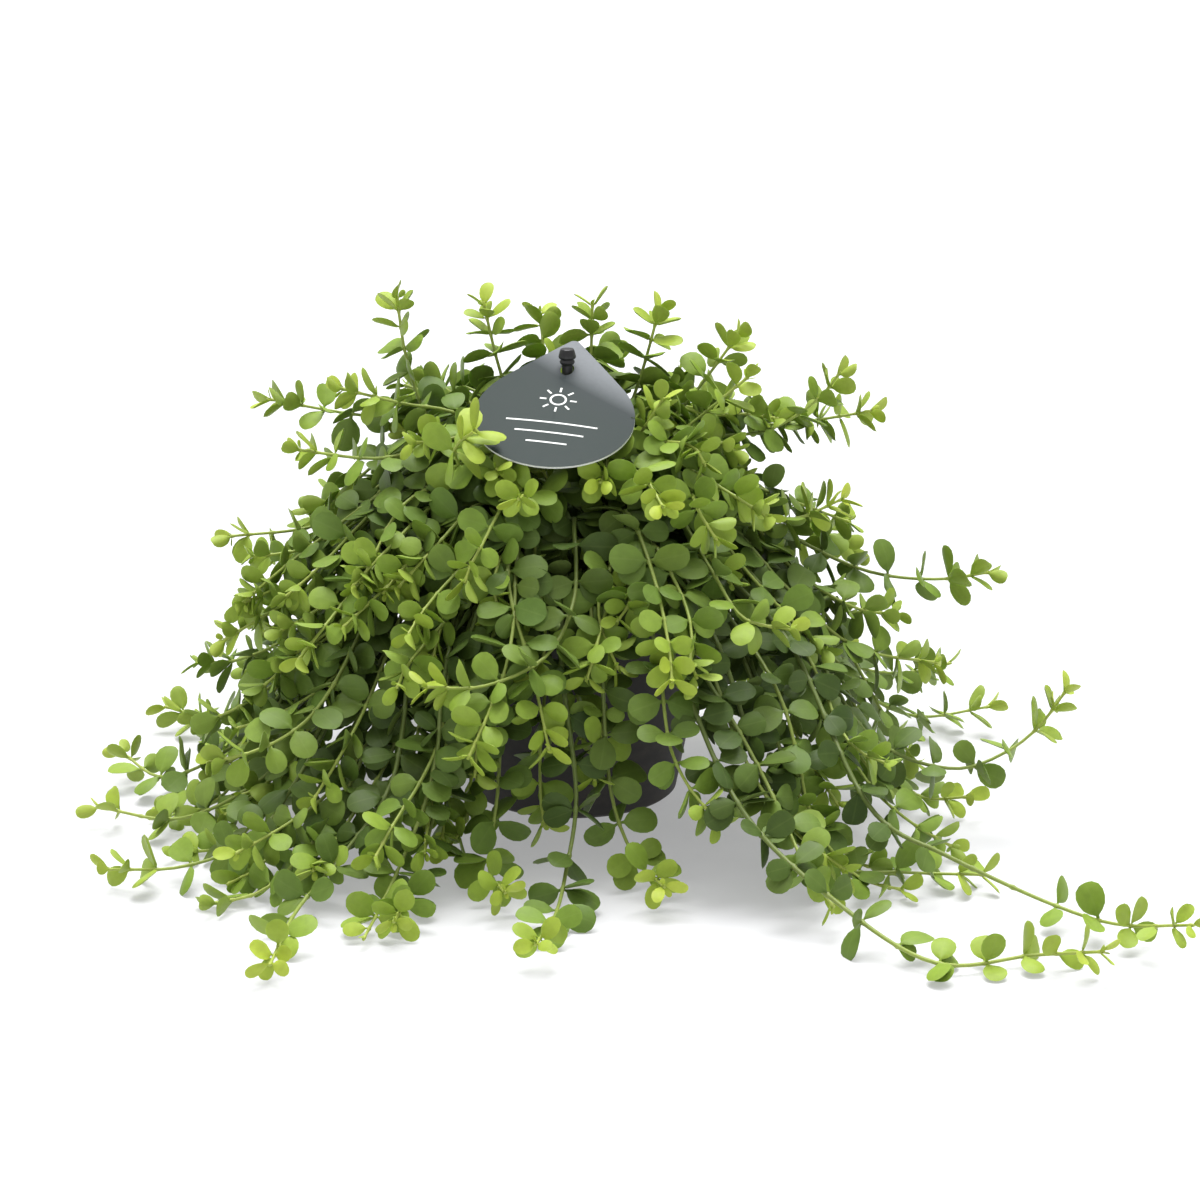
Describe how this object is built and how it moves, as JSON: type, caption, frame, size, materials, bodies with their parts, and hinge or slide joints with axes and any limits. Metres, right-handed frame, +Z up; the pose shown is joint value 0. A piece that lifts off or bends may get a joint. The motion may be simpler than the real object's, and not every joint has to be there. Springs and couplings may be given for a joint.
{
  "type": "potted trailing peperomia",
  "caption": "Small trailing houseplant with round fleshy leaves in whorls, in a tapered nursery pot of soil, with a plain drop-shaped label on a stake.",
  "frame": {"origin": "centre of the flat underside of the pot", "axes": "+Z up, out of the soil; -Y towards the front of the plant, where the label faces; +X to the right of the front"},
  "size_m": [0.4242, 0.4101, 0.2068],
  "materials": {
    "pot": "satin",
    "soil": "matte",
    "stake": "satin",
    "label": "satin",
    "foliage": "satin"
  },
  "bodies": {
    "root": {"pot": "pot", "soil": "soil", "stake": "stake", "label": "label", "skirt_stem_01": "foliage", "skirt_stem_02": "foliage", "skirt_stem_03": "foliage", "skirt_stem_04": "foliage", "skirt_stem_05": "foliage", "skirt_stem_06": "foliage", "skirt_stem_07": "foliage", "skirt_stem_08": "foliage", "skirt_stem_09": "foliage", "skirt_stem_10": "foliage", "skirt_stem_11": "foliage", "skirt_stem_12": "foliage", "skirt_stem_13": "foliage", "skirt_stem_14": "foliage", "skirt_stem_15": "foliage", "skirt_stem_16": "foliage", "skirt_stem_17": "foliage", "skirt_stem_18": "foliage", "skirt_stem_19": "foliage", "shoulder_stem_01": "foliage", "shoulder_stem_02": "foliage", "shoulder_stem_03": "foliage", "shoulder_stem_04": "foliage", "shoulder_stem_05": "foliage", "shoulder_stem_06": "foliage", "shoulder_stem_07": "foliage", "shoulder_stem_08": "foliage", "shoulder_stem_09": "foliage", "shoulder_stem_10": "foliage", "shoulder_stem_11": "foliage", "shoulder_stem_12": "foliage", "shoulder_stem_13": "foliage", "shoulder_stem_14": "foliage", "shoulder_stem_15": "foliage", "upper_stem_01": "foliage", "upper_stem_02": "foliage", "upper_stem_03": "foliage", "upper_stem_04": "foliage", "upper_stem_05": "foliage", "upper_stem_06": "foliage", "upper_stem_07": "foliage", "upper_stem_08": "foliage", "upper_stem_09": "foliage", "upper_stem_10": "foliage", "upper_stem_11": "foliage", "upper_stem_12": "foliage", "upper_stem_13": "foliage", "crown_stem_01": "foliage", "crown_stem_02": "foliage", "crown_stem_03": "foliage", "crown_stem_04": "foliage", "crown_stem_05": "foliage", "crown_stem_06": "foliage", "crown_stem_07": "foliage", "crown_stem_08": "foliage"}
  },
  "joints": []
}
